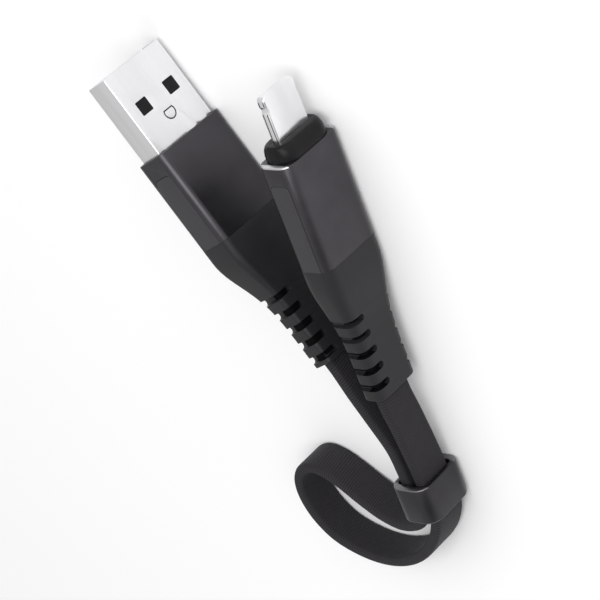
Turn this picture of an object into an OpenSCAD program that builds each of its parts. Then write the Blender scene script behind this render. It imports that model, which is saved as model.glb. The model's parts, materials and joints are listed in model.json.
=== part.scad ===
// Short flat charging cable: a USB-A plug and a slim eight-contact tab plug on one
// woven ribbon cord, folded into a loop that a sliding keeper ring holds together.
// All sizes are in millimetres. The cable lies on its edge, so each plug's width is
// vertical (Z) and each plug's thickness is level. +X is the way the USB plug points.

/* [Ribbon cord] */
// Width of the woven ribbon, over its edges
ribbon_w = 6.2; // [5.1:0.1:7.5]
// Thickness of the woven ribbon
ribbon_t = 1.8; // [1.6:0.1:2.2]
// Thickness of the woven cover
cover_wall = 0.3; // [0.2:0.05:0.36]
// Diameter of one insulated conductor
core_d = 0.8; // [0.5:0.05:0.84]
// Distance between the conductors' centres
core_pitch = 1.05; // [0.9:0.05:1.1]

/* [USB plug] */
// Width of the steel shell
usb_shell_w = 12; // [10:0.1:12.2]
// Thickness of the steel shell
usb_shell_t = 4.5; // [3.7:0.1:5.2]
// Sheet thickness of the shell
usb_sheet = 0.3; // [0.2:0.05:0.4]
// Length of shell that stands out of the sleeve
usb_shell_out = 13.1; // [10.9:0.1:15.8]
// Length of shell held inside the sleeve
usb_shell_in = 7.6; // [6:0.1:8]
// Side of each square latch hole
latch_hole = 2.2; // [1.8:0.1:2.6]
// Distance between the latch holes' centres
latch_pitch = 6; // [5:0.1:7.2]
// Distance of the latch holes' centres behind the tip
latch_back = 6.4; // [5.3:0.1:7.7]
// Width of the aluminium sleeve, without its side pads
usb_sleeve_w = 13.4; // [13.2:0.1:16]
// Thickness of the aluminium sleeve
usb_sleeve_t = 6.6; // [6.2:0.1:8]
// Length of the aluminium sleeve
usb_sleeve_len = 15.2; // [13:0.1:18.4]
// Wall of the aluminium sleeve
usb_sleeve_wall = 0.55; // [0.5:0.05:0.6]
// Length of the strain relief boot, from its mouth to the sleeve
usb_boot_len = 23.4; // [19.5:0.1:28.1]
// Distance between the boot's slots
usb_slot_pitch = 2.7; // [2.4:0.1:3.2]
// Distance of the first slot's middle behind the boot's mouth
usb_first_slot = 1.3; // [1.1:0.1:2.6]

/* [Tab plug] */
// Width of the metal tab
tab_w = 6.7; // [5.6:0.1:8]
// Thickness of the metal tab
tab_t = 1.5; // [1.3:0.1:1.8]
// Length of tab that stands out of the collar
tab_out = 7.1; // [5.9:0.1:8.5]
// Width of the plastic collar
collar_w = 10; // [9:0.1:10.4]
// Thickness of the plastic collar
collar_t = 4.2; // [3.5:0.1:4.4]
// Length of collar that stands out of the sleeve
collar_out = 2.5; // [2.1:0.1:3]
// Width of the collar's foot, on the sleeve's front edge
foot_w = 9.9; // [9.8:0.1:11.2]
// Thickness of the collar's foot
foot_t = 5.8; // [5:0.1:5.9]
// Width of the aluminium sleeve, without its side pads
tab_sleeve_w = 11.9; // [11.7:0.1:14.2]
// Thickness of the aluminium sleeve
tab_sleeve_t = 6.2; // [5.9:0.1:7.4]
// Length of the aluminium sleeve
tab_sleeve_len = 17.1; // [14.2:0.1:20.6]
// Length of the strain relief boot, from its mouth to the sleeve
tab_boot_len = 23.1; // [19.3:0.1:27.7]
// Distance between the boot's slots
tab_slot_pitch = 2.8; // [2.4:0.1:3.3]
// Distance of the first slot's middle behind the boot's mouth
tab_first_slot = 2.3; // [1.1:0.1:2.8]

/* [Boots and pads] */
// Wall of rubber left beside the ribbon's edges at the USB boot's mouth
usb_mouth_side = 0.8; // [0.65:0.05:1.2]
// Wall of rubber left beside the ribbon's edges at the tab boot's mouth
tab_mouth_side = 1.15; // [0.9:0.05:1.4]
// Wall of rubber left beside the ribbon's faces at the mouth
mouth_face = 1.05; // [0.9:0.05:1.3]
// Slots on each narrow side of a boot
slot_count = 5; // [3:1:5]
// Width of one slot, along the boot
slot_w = 1.1; // [0.8:0.1:1.4]
// Rubber left between a slot's floor and the ribbon
slot_floor = 0.2; // [0.15:0.05:0.4]
// How far a slot wraps onto one broad face
slot_wrap = 2.9; // [2:0.1:3.4]
// How far a slot nicks the corner of the other broad face
slot_nick = 1; // [0.6:0.1:1.4]
// Thickness of a side pad
pad_t = 0.3; // [0.2:0.02:0.36]
// How far a side pad stands proud of its sleeve
pad_proud = 0.05; // [0.02:0.01:0.15]
// Gap between a side pad's front end and the sleeve's front edge
pad_gap = 3; // [2:0.1:4]

/* [Keeper ring] */
// Length of the ring along the strands
ring_len = 6; // [4.5:0.1:7]
// Wall of the ring beside the ribbon's faces
ring_wall = 0.8; // [0.6:0.05:1]
// Clearance between the ring and the ribbon's faces
ring_face_gap = 0.3; // [0.2:0.05:0.5]
// Clearance between the ring and the ribbon's edges
ring_edge_gap = 0.5; // [0.5:0.05:0.8]
// Wall of the keeper ring beyond the ribbon's edges
ring_end_wall = 1.2; // [0.9:0.1:1.5]

/* [Motion and fits] */
// Depth of the swing axis inside a boot's mouth
pivot_depth = 1.4; // [1:0.1:1.6]
// Half angle of the flared mouth
flare = 20; // [10:1:20]
// Clearance of a running fit
run_gap = 0.05; // [0.02:0.01:0.08]
// Clearance of a fixed fit
fit_gap = 0.02; // [0.01:0.01:0.04]

/* [Hidden] */
$fn = 48;
eps = 0.01;

// Heights above the surface that the cable lies on
usb_axis_h = usb_sleeve_w / 2 + pad_proud;
tab_axis_h = tab_sleeve_w / 2 + pad_proud;
ring_h = ribbon_w / 2 + ring_edge_gap + ring_end_wall;
loop_h = ribbon_w / 2 + 0.05;

// The cord's route, seen from above, from the USB plug's swing axis round the loop to
// the tab plug's swing axis. The third value is the height: 0 on the surface, 1 in the
// keeper ring, 2 in a plug.
ROUTE = [
    [0, 0, 2], [-3.5, 0, 2], [-7.4, 0.5, 1.93], [-12.4, 1.5, 1.62], [-17.9, 2.7, 1.28],
    [-21.9, 4.4, 1.1], [-26.1, 6.2, 1], [-28.9, 7.4, 0.85], [-30.4, 9.1, 0.7],
    [-30.6, 11.6, 0.58], [-29.8, 14.6, 0.4], [-27.4, 17.3, 0.28], [-24.2, 19.5, 0.15],
    [-20.8, 21.3, 0.06], [-18.2, 23, 0], [-16.4, 25.2, 0], [-16.3, 27.8, 0],
    [-17.9, 30.2, 0], [-20.7, 31.7, 0], [-24.4, 32.1, 0], [-28.4, 31, 0],
    [-32.1, 27.9, 0], [-34.7, 24, 0], [-35.9, 19.6, 0.04], [-35.7, 15.2, 0.15],
    [-34.4, 11, 0.32], [-32.4, 7.5, 0.52], [-29.9, 4.8, 0.76], [-27.3, 3.6, 1],
    [-21.8, 1.2, 1.2], [-15.9, -1.3, 1.6], [-11.3, -3.2, 2], [-8.1, -4.6, 2]
];
// Route points inside the ring, on the USB plug's strand and on the tab plug's strand
USB_STRAND = 6;
TAB_STRAND = 28;
LAST = len(ROUTE) - 1;
// Rings of the swept cord in each stretch between two route points
STEPS = 2;

function mix(a, b, k) = a + (b - a) * k;
function plug_h(i) = i < LAST / 2 ? usb_axis_h : tab_axis_h;
function height(i, k) = k <= 1 ? mix(loop_h, ring_h, k) : mix(ring_h, plug_h(i), k - 1);
path = [for (i = [0:LAST]) [ROUTE[i].x, ROUTE[i].y, height(i, ROUTE[i].z)]];

// Smooth curve through the route's points (Catmull-Rom)
function near(i) = i < 0 ? 2 * path[0] - path[1]
    : i > LAST ? 2 * path[LAST] - path[LAST - 1] : path[i];
function curve(a, b, c, d, t) = 0.5 * (2 * b + (c - a) * t + (2 * a - 5 * b + 4 * c - d) * t * t
    + (3 * b - a - 3 * c + d) * t * t * t);
centres = [
    for (i = [0:LAST - 1]) for (s = [0:STEPS - 1])
        curve(near(i - 1), near(i), near(i + 1), near(i + 2), s / STEPS),
    path[LAST]
];
RINGS = len(centres);
function unit(v) = v / norm(v);
function along(i) = unit(i == 0 ? path[1] - path[0]
    : i == RINGS - 1 ? path[LAST] - path[LAST - 1] : centres[i + 1] - centres[i - 1]);
function across(i) = unit(cross([0, 0, 1], along(i)));
function upward(i) = cross(along(i), across(i));

// Outline of a flat bar with cut corners, centred on [y, z]
function bar8(w, t, c, y = 0, z = 0) = [
    [y + t / 2, z - w / 2 + c], [y + t / 2, z + w / 2 - c], [y + t / 2 - c, z + w / 2],
    [y - t / 2 + c, z + w / 2], [y - t / 2, z + w / 2 - c], [y - t / 2, z - w / 2 + c],
    [y - t / 2 + c, z - w / 2], [y + t / 2 - c, z - w / 2]
];
function round8(d, z) = [for (a = [0:7]) [d / 2 * cos(a * 45 + 22.5), z + d / 2 * sin(a * 45 + 22.5)]];
function swept(outline) = [
    for (i = [0:RINGS - 1]) for (p = outline) centres[i] + across(i) * p.x + upward(i) * p.y
];
function skin(first, flip) = [
    for (i = [0:RINGS - 2]) for (k = [0:7])
        let (a = first + i * 8 + k, b = first + i * 8 + (k + 1) % 8, c = b + 8, d = a + 8)
        each flip ? [[a, c, b], [a, d, c]] : [[a, b, c], [a, c, d]]
];

// Solid cord of an eight-sided outline, along the whole route
module sweep(outline) {
    top = (RINGS - 1) * 8;
    polyhedron(swept(outline), concat(
        skin(0, false),
        [[for (k = [7:-1:0]) k]],
        [[for (k = [0:7]) top + k]]
    ));
}

// Hollow cord between an outer and an inner eight-sided outline
module sweep_hollow(outer, inner) {
    n = RINGS * 8;
    top = n - 8;
    polyhedron(concat(swept(outer), swept(inner)), concat(
        skin(0, false),
        skin(n, true),
        [for (k = [0:7]) let (m = (k + 1) % 8) each [[k, n + k, n + m], [k, n + m, m]]],
        [for (k = [0:7]) let (m = (k + 1) % 8)
            each [[top + k, top + m, n + top + m], [top + k, n + top + m, n + top + k]]]
    ));
}

// Plug places: each plug turns about its swing axis at an end of the route
usb_pivot = path[0];
tab_pivot = path[LAST];
tab_way = path[LAST] - path[LAST - 1];
tab_turn = atan2(tab_way.y, tab_way.x);
usb_len = usb_boot_len + usb_sleeve_len + usb_shell_out;
tab_len = tab_boot_len + tab_sleeve_len + collar_out + tab_out;
mouth_t = ribbon_t + 2 * mouth_face;

// The origin is below the middle of the box that the two plugs fill
box_right = usb_pivot.x - pivot_depth + usb_len;
box_left = tab_pivot.x - pivot_depth * cos(tab_turn) + mouth_t / 2 * sin(tab_turn);
box_back = usb_pivot.y + usb_sleeve_t / 2;
box_front = tab_pivot.y + (tab_len - pivot_depth) * sin(tab_turn) - tab_t / 2 * cos(tab_turn);
origin = [(box_right + box_left) / 2, (box_back + box_front) / 2, 0];

// Each plug is drawn with its boot's mouth at x = 0 and its tip towards +X
module as_laid() { translate(-origin) children(); }
module at_usb() { as_laid() translate(usb_pivot) translate([-pivot_depth, 0, 0]) children(); }
module at_tab() {
    as_laid() translate(tab_pivot) rotate([0, 0, tab_turn]) translate([-pivot_depth, 0, 0]) children();
}

module block(x0, x1, t, w, y = 0) { translate([x0, y - t / 2, -w / 2]) cube([x1 - x0, t, w]); }

// Bar along X with a rounded section, t thick and w wide
module round_bar(x0, x1, t, w, r) {
    translate([x0, 0, 0]) rotate([90, 0, 90]) linear_extrude(x1 - x0) rounded(t, w, r);
}
module rounded(t, w, r) {
    union() {
        square([t - 2 * r, w], center = true);
        square([t, w - 2 * r], center = true);
        for (sy = [-1, 1]) for (sz = [-1, 1])
            translate([sy * (t / 2 - r), sz * (w / 2 - r)]) circle(r);
    }
}
// Straight round wire between two points
module wire(a, b, d) {
    v = b - a;
    translate(a) rotate([0, acos(v.z / norm(v)), atan2(v.y, v.x)]) cylinder(d = d, h = norm(v), $fn = 24);
}

// --- Strain relief boot, shared by both plugs ---------------------------------------
boot_straight = 2.2;
boot_spigot = 0.6;
anchor_end = 17;
// The boot swells from its mouth to the sleeve in one hollow curve
function swell(t) = pow(3 * t * t - 2 * t * t * t, 3);
function boot_size(x, len, small, big) =
    mix(small, big, x < 1 ? 0 : x > len - boot_straight ? 1 : swell((x - 1) / (len - boot_straight - 1)));
function corners(t, w, r) = [
    for (q = [[1, -1, -90], [1, 1, 0], [-1, 1, 90], [-1, -1, 180]]) for (a = [0:30:90])
        [q.x * (t / 2 - r) + r * cos(q.z + a), q.y * (w / 2 - r) + r * sin(q.z + a)]
];

module boot_skin(len, t, w, r, mouth_w) {
    stations = [0, 1, for (k = [1:8]) 1 + (len - boot_straight - 1) * k / 8, len];
    n = len(stations);
    points = [for (x = stations)
        for (p = corners(boot_size(x, len, mouth_t, t), boot_size(x, len, mouth_w, w),
            boot_size(x, len, 0.9, r))) [x, p.x, p.y]];
    m = 16;
    polyhedron(points, concat(
        [for (i = [0:n - 2]) for (k = [0:m - 1])
            let (a = i * m + k, b = i * m + (k + 1) % m) each [[a, b + m, b], [a, a + m, b + m]]],
        [[for (k = [0:m - 1]) k]],
        [[for (k = [m - 1:-1:0]) (n - 1) * m + k]]
    ));
}

// One pair of slots, down to just over the ribbon: each cuts a narrow side, wraps onto
// one broad face and nicks the corner of the other
module slot_pair(x, w) {
    translate([x - slot_w / 2, 0, 0]) rotate([90, 0, 90]) linear_extrude(slot_w) difference() {
        for (s = [-1, 1]) for (q = [-1, 1])
            let (reach = s * q < 0 ? slot_wrap : slot_nick, z = w / 2 - reach)
            translate([q < 0 ? -w : -eps, s > 0 ? z : -w]) square([w + eps, w - z]);
        rounded(ribbon_t + 2 * slot_floor, ribbon_w + 2 * slot_floor, 0.6);
    }
}

module boot(len, t, w, r, mouth_w, first, pitch, inner_t, inner_w, inner_r) {
    difference() {
        union() {
            boot_skin(len, t, w, r, mouth_w);
            round_bar(len - eps, len + boot_spigot, inner_t, inner_w, inner_r);
        }
        for (k = [0:slot_count - 1]) let (x = first + pitch * k)
            slot_pair(x, boot_size(x, len, mouth_w, w));
        // Round seat of the ribbon's end, on the swing axis
        translate([pivot_depth, 0, -ribbon_w / 2 - run_gap])
            cylinder(r = ribbon_t / 2 + run_gap, h = ribbon_w + 2 * run_gap);
        // Flared mouth that lets the ribbon swing
        translate([0, 0, -ribbon_w / 2 - run_gap]) linear_extrude(ribbon_w + 2 * run_gap)
            let (y0 = ribbon_t / 2 + run_gap, y1 = y0 / cos(flare) + (pivot_depth + 1) * tan(flare))
            polygon([[pivot_depth, -y0], [-1, -y1], [-1, y1], [pivot_depth, y0]]);
        block(pivot_depth, anchor_end, ribbon_t + 2 * fit_gap, ribbon_w + 2 * fit_gap);
        block(anchor_end - eps, len + boot_spigot + eps, 2.4, ribbon_w + 1);
    }
}

// Fixed end of the ribbon, moulded into the boot behind the swing axis
module cord_anchor() {
    color([0.1, 0.1, 0.11]) difference() {
        block(pivot_depth, anchor_end, ribbon_t, ribbon_w);
        translate([pivot_depth, 0, -ribbon_w]) cylinder(r = ribbon_t / 2 + run_gap, h = 2 * ribbon_w);
    }
}
// Conductors from the ribbon's fixed end to the plug's contacts or board
module wire_tails(x1, y1, ends) {
    for (k = [0:3]) {
        color(["firebrick", "gainsboro", "seagreen", "dimgray"][k])
            wire([anchor_end, 0, (k - 1.5) * core_pitch], [x1, y1, ends[k]], core_d);
    }
}
// Outline of a side pad, with a rounded front end
module pad_outline(x0, x1, t, grow) {
    r = 1.3;
    translate([x0 - grow, -t / 2 - grow]) square([x1 - r - x0 + grow, t + 2 * grow]);
    translate([x1 - 2 * r, r - t / 2 - grow]) square([2 * r + grow, t - 2 * r + 2 * grow]);
    for (s = [-1, 1]) translate([x1 - r, s * (t / 2 - r)]) circle(r + grow);
}
module pads(x0, x1, t, sleeve_w, grow, h) {
    for (s = [0, 1]) mirror([0, 0, s]) translate([0, 0, sleeve_w / 2 - pad_t - grow])
        linear_extrude(h + grow) pad_outline(x0, x1, t, grow);
}

// --- USB plug -------------------------------------------------------------------------
usb_sleeve_x = usb_boot_len;
usb_front = usb_boot_len + usb_sleeve_len;
usb_shell_x = usb_front - usb_shell_in;
usb_round = 1.2;
usb_in_t = usb_sleeve_t - 2 * usb_sleeve_wall;
usb_in_w = usb_sleeve_w - 2 * usb_sleeve_wall;
usb_pad_w = usb_sleeve_t - 2 * usb_round - 0.3;
shell_in_t = usb_shell_t - 2 * usb_sheet;
shell_in_w = usb_shell_w - 2 * usb_sheet;
tongue_t = shell_in_t / 2;
tongue_x = usb_shell_x - 1;
contact_t = 0.25;
contact_x = tongue_x - 2;
power_z = 3.5;
data_z = 1;

module usb_shell() {
    color([0.86, 0.86, 0.88]) difference() {
        round_bar(usb_shell_x, usb_len, usb_shell_t, usb_shell_w, 0.5);
        round_bar(usb_shell_x - eps, usb_len + eps, shell_in_t, shell_in_w, 0.3);
        for (s = [-1, 1]) translate([usb_len - latch_back, 0, s * latch_pitch / 2])
            cube([latch_hole, 2 * usb_shell_t, latch_hole], center = true);
        // D-shaped lance behind the latch holes, through the outer broad face
        translate([usb_len - latch_back - 2.9, -usb_shell_t / 2 - eps, 0]) rotate([-90, 0, 0])
            linear_extrude(usb_sheet + 2 * eps) difference() {
                intersection() {
                    circle(1.15);
                    translate([-1.4, -2]) square([2, 4]);
                }
                intersection() {
                    circle(0.9);
                    translate([-1.4, -2]) square([2.6, 4]);
                }
            }
    }
}
module usb_tongue() {
    color([0.12, 0.12, 0.125]) difference() {
        intersection() {
            block(tongue_x, usb_len - 0.5, tongue_t, shell_in_w, y = -tongue_t / 2);
            round_bar(tongue_x - 1, usb_len, shell_in_t - 2 * fit_gap, shell_in_w - 2 * fit_gap, 0.3);
        }
        contact_groove(power_z, usb_len - 1.4);
        contact_groove(data_z, usb_len - 2.4);
    }
}
module contact_groove(z, x1) {
    for (s = [-1, 1]) translate([contact_x - 1, -contact_t, s * z - 0.5 - fit_gap])
        cube([x1 + fit_gap - contact_x + 1, 1 + contact_t, 1 + 2 * fit_gap]);
}
module contacts(z, x1) {
    for (s = [-1, 1]) translate([contact_x, -contact_t, s * z - 0.5])
        cube([x1 - contact_x, contact_t, 1]);
}
module usb_power_contacts() { color("gold") contacts(power_z, usb_len - 1.4); }
module usb_data_contacts() { color("gold") contacts(data_z, usb_len - 2.4); }

module usb_inner_mould() {
    rear = usb_sleeve_x + boot_spigot;
    color([0.16, 0.16, 0.17]) difference() {
        block(rear, usb_front - 0.2, usb_in_t - 2 * fit_gap, usb_in_w - 2 * fit_gap);
        // Chamber of the solder joints
        block(rear - eps, tongue_x, 3.4, 2 * power_z + 2.4);
        // Pocket of the shell, open at its narrow sides
        block(usb_shell_x, usb_front + eps, usb_shell_t + 2 * fit_gap, usb_in_w + 1);
        // Pocket of the tongue's root
        block(tongue_x - eps, usb_shell_x + eps, tongue_t + 2 * fit_gap, shell_in_w, y = -tongue_t / 2);
    }
}
module usb_sleeve() {
    color([0.27, 0.265, 0.28]) difference() {
        round_bar(usb_sleeve_x, usb_front, usb_sleeve_t, usb_sleeve_w, usb_round);
        block(usb_sleeve_x - eps, usb_front + eps, usb_in_t, usb_in_w);
        pads(usb_sleeve_x - 1, usb_front - pad_gap, usb_pad_w, usb_sleeve_w, fit_gap, pad_t + 1);
    }
}
module usb_side_pads() {
    color([0.3, 0.295, 0.31])
        pads(usb_sleeve_x, usb_front - pad_gap, usb_pad_w, usb_sleeve_w, 0, pad_t + pad_proud);
}
module usb_boot() {
    color([0.13, 0.13, 0.14]) boot(usb_boot_len, usb_sleeve_t, usb_sleeve_w, usb_round,
        ribbon_w + 2 * usb_mouth_side, usb_first_slot, usb_slot_pitch,
        usb_in_t - 2 * fit_gap, usb_in_w - 2 * fit_gap, 0.4);
}
module usb_wire_tails() {
    wire_tails(contact_x - 0.1, -0.1, [-power_z, -data_z, data_z, power_z]);
}

// --- Tab plug -------------------------------------------------------------------------
tab_sleeve_x = tab_boot_len;
tab_front = tab_boot_len + tab_sleeve_len;
tab_root_x = tab_front - 4.7;
tab_round = 2;
tab_in_t = collar_t + 2 * fit_gap;
tab_in_w = collar_w + 2 * fit_gap;
tab_in_r = tab_in_t / 2 - 0.3;
tab_pad_w = 3.4;
tip_round = 0.7;
notch_r = 0.7;
notch_depth = 0.35;
notch_back = 2.1;
window_x = tab_len - 4.6;
window_len = 3.4;
contact_n = 8;
contact_step = 0.6;
board_t = 0.8;
board_len = tab_sleeve_len - 8.3;

module tab_frame() {
    color([0.87, 0.87, 0.88]) difference() {
        union() {
            intersection() {
                round_bar(tab_root_x, tab_len, tab_t, tab_w, 0.6);
                translate([0, tab_t, 0]) rotate([90, 0, 0]) linear_extrude(2 * tab_t) union() {
                    translate([tab_root_x, -tab_w / 2]) square([tab_len - tip_round - tab_root_x, tab_w]);
                    translate([tab_len - 2, tip_round - tab_w / 2]) square([2, tab_w - 2 * tip_round]);
                    for (s = [-1, 1]) translate([tab_len - tip_round, s * (tab_w / 2 - tip_round)])
                        circle(tip_round);
                }
            }
            block(tab_root_x, tab_root_x + 2.6, tab_t, tab_w + 1.4);
        }
        // Detent notches in the narrow sides
        for (s = [-1, 1]) translate([tab_len - notch_back, 0, s * (tab_w / 2 + notch_r - notch_depth)])
            rotate([90, 0, 0]) cylinder(r = notch_r, h = 2 * tab_t, center = true);
        // Contact window, in the hidden broad face
        translate([window_x, tab_t / 2 - 0.5, -tab_w / 2 + 0.9]) cube([window_len, 1, tab_w - 1.8]);
    }
}
module tab_insulator() {
    color([0.08, 0.08, 0.08]) difference() {
        translate([window_x + fit_gap, tab_t / 2 - 0.5 + fit_gap, -tab_w / 2 + 0.9 + fit_gap])
            cube([window_len - 2 * fit_gap, 0.5 - 2 * fit_gap, tab_w - 1.8 - 2 * fit_gap]);
        tab_contact_set(0.01, 1);
    }
}
module tab_contact_set(grow, extra) {
    for (k = [0:contact_n - 1]) translate([window_x + 0.4 - grow, tab_t / 2 - 0.25 - grow,
        (k - (contact_n - 1) / 2) * contact_step - 0.19 - grow])
        cube([window_len - 0.8 + 2 * grow, 0.23 + extra, 0.38 + 2 * grow]);
}
module tab_contacts() { color("gold") tab_contact_set(0, 0); }
module tab_board() {
    color("darkgreen") block(tab_root_x - board_len - 0.1, tab_root_x - 0.1, board_t, tab_w + 0.9);
}
module tab_chip() {
    color([0.1, 0.1, 0.1]) translate([tab_root_x - 6, -board_t / 2 - 0.7, -1.5]) cube([2.6, 0.7, 3]);
}
module tab_inner_mould() {
    rear = tab_sleeve_x + boot_spigot;
    color([0.2, 0.2, 0.21]) difference() {
        round_bar(rear, tab_front - 1.8, tab_in_t - 2 * fit_gap, tab_in_w - 2 * fit_gap, tab_in_r);
        block(rear - eps, tab_front, 3.2, tab_w + 1.6);
    }
}
module tab_collar() {
    base = tab_front - 1.8;
    color([0.07, 0.07, 0.075]) difference() {
        union() {
            round_bar(base, tab_front + collar_out - 0.5, collar_t, collar_w - 0.4, tab_in_r);
            round_bar(base, tab_front + collar_out, collar_t - 0.7, collar_w - 1.1, collar_t / 2 - 0.36);
            // Foot on the sleeve's front edge, in two steps
            round_bar(tab_front + fit_gap, tab_front + 0.9, foot_t, foot_w, foot_t / 2 - 0.5);
            round_bar(tab_front + fit_gap, tab_front + 1.5, foot_t - 0.7, foot_w - 0.5, foot_t / 2 - 0.85);
            round_bar(base, tab_front + 0.5, collar_t, collar_w, tab_in_r);
        }
        round_bar(base - eps, tab_front + collar_out + eps, tab_t + 2 * fit_gap, tab_w + 2 * fit_gap, 0.6);
    }
}
module tab_sleeve() {
    color([0.27, 0.265, 0.28]) difference() {
        round_bar(tab_sleeve_x, tab_front, tab_sleeve_t, tab_sleeve_w, tab_round);
        round_bar(tab_sleeve_x - eps, tab_front + eps, tab_in_t, tab_in_w, tab_in_r);
        pads(tab_sleeve_x - 1, tab_front - pad_gap, tab_pad_w, tab_sleeve_w, fit_gap, pad_t + 1);
    }
}
module tab_side_pads() {
    color([0.3, 0.295, 0.31])
        pads(tab_sleeve_x, tab_front - pad_gap, tab_pad_w, tab_sleeve_w, 0, pad_t + pad_proud);
}
module tab_boot() {
    color([0.13, 0.13, 0.14]) boot(tab_boot_len, tab_sleeve_t, tab_sleeve_w, tab_round,
        ribbon_w + 2 * tab_mouth_side, tab_first_slot, tab_slot_pitch,
        tab_in_t - 2 * fit_gap, tab_in_w - 2 * fit_gap, tab_in_r);
}
module tab_wire_tails() {
    wire_tails(tab_root_x - board_len - 0.3, 0, [for (k = [0:3]) (k - 1.5) * 1.6]);
}

// --- Ribbon cord and its conductors ----------------------------------------------------
jacket_w = ribbon_w - 2 * cover_wall - 2 * fit_gap;
jacket_t = ribbon_t - 2 * cover_wall - 2 * fit_gap;
tunnel_w = 3 * core_pitch + core_d + 0.3;
tunnel_t = core_d + 0.06;

module ribbon_cover() {
    color([0.17, 0.165, 0.175]) as_laid()
        sweep_hollow(bar8(ribbon_w, ribbon_t, 0.5),
            bar8(ribbon_w - 2 * cover_wall, ribbon_t - 2 * cover_wall, 0.3));
}
module ribbon_jacket() {
    color([0.25, 0.25, 0.26]) as_laid()
        sweep_hollow(bar8(jacket_w, jacket_t, 0.3), bar8(tunnel_w, tunnel_t, 0.08));
}
module core(k) { as_laid() sweep(round8(core_d, (k - 1.5) * core_pitch)); }
module core_supply() { color("firebrick") core(0); }
module core_data_minus() { color("gainsboro") core(1); }
module core_data_plus() { color("seagreen") core(2); }
module core_ground() { color("dimgray") core(3); }

// --- Keeper ring ------------------------------------------------------------------------
strand_gap = path[USB_STRAND] - path[TAB_STRAND];
ring_mid = (path[USB_STRAND] + path[TAB_STRAND]) / 2;
ring_in_t = norm([strand_gap.x, strand_gap.y]) + ribbon_t + 2 * ring_face_gap;
ring_in_w = ribbon_w + 2 * ring_edge_gap;

module keeper_ring() {
    color([0.25, 0.245, 0.255]) as_laid() translate([ring_mid.x, ring_mid.y, ring_h])
        rotate([0, 0, tab_turn]) difference() {
            round_bar(-ring_len / 2, ring_len / 2, ring_in_t + 2 * ring_wall, ring_in_w + 2 * ring_end_wall, 2.2);
            round_bar(-ring_len / 2 - eps, ring_len / 2 + eps, ring_in_t, ring_in_w, 0.8);
        }
}

at_usb() usb_shell();
at_usb() usb_tongue();
at_usb() usb_power_contacts();
at_usb() usb_data_contacts();
at_usb() usb_inner_mould();
at_usb() usb_sleeve();
at_usb() usb_side_pads();
at_usb() usb_boot();
at_usb() cord_anchor();  // usb_cord_anchor
at_usb() usb_wire_tails();
at_tab() tab_frame();
at_tab() tab_insulator();
at_tab() tab_contacts();
at_tab() tab_board();
at_tab() tab_chip();
at_tab() tab_inner_mould();
at_tab() tab_collar();
at_tab() tab_sleeve();
at_tab() tab_side_pads();
at_tab() tab_boot();
at_tab() cord_anchor();  // tab_cord_anchor
at_tab() tab_wire_tails();
ribbon_cover();
ribbon_jacket();
core_supply();
core_ground();
core_data_plus();
core_data_minus();
keeper_ring();
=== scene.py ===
"""Looks of a short flat charging cable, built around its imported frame.

It is laid out as an add-on: sizes and colours are properties, each piece or group of
like pieces has an operator, and a panel in the 3D view's sidebar lists them.
"""

import json
import math

import bmesh
import bpy
from mathutils import Matrix, Vector


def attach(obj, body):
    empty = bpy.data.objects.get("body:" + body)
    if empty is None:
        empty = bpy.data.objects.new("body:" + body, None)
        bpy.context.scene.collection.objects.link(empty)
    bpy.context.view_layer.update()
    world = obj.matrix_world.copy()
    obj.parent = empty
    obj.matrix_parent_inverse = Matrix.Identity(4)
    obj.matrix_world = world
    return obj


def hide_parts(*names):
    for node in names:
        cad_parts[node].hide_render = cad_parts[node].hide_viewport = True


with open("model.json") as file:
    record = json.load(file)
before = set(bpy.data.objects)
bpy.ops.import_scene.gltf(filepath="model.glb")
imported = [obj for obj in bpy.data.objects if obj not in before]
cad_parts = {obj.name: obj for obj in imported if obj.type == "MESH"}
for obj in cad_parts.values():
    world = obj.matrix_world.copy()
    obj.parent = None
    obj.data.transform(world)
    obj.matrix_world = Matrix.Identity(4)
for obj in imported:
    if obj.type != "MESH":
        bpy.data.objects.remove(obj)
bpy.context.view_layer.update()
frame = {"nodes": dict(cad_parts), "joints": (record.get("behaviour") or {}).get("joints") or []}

bl_info = {
    "name": "Short flat charging cable",
    "version": (1, 0, 0),
    "blender": (4, 5, 0),
    "location": "3D View > Sidebar > Cable",
    "description": "Builds a flat woven charging cable with its two plugs and keeper ring",
    "category": "Object",
}

MM = 0.001
JOINTS = {joint["name"]: joint for joint in frame["joints"]}
USB_SWING = Vector(JOINTS["usb_swing"]["pos_m"])
TAB_SWING = Vector(JOINTS["tab_swing"]["pos_m"])
TAB_WAY = Vector(JOINTS["ring_slide"]["axis"]).normalized()
TAB_TURN = math.atan2(TAB_WAY.y, TAB_WAY.x)
LEVEL, UPRIGHT, FORWARD = Vector((0, 1, 0)), Vector((0, 0, 1)), Vector((1, 0, 0))
# Two places closer than this are the same
SAME = 1e-7
# Where the ribbon's channel in a boot ends, behind the boot's mouth
CHANNEL_END = 17 * MM

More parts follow.
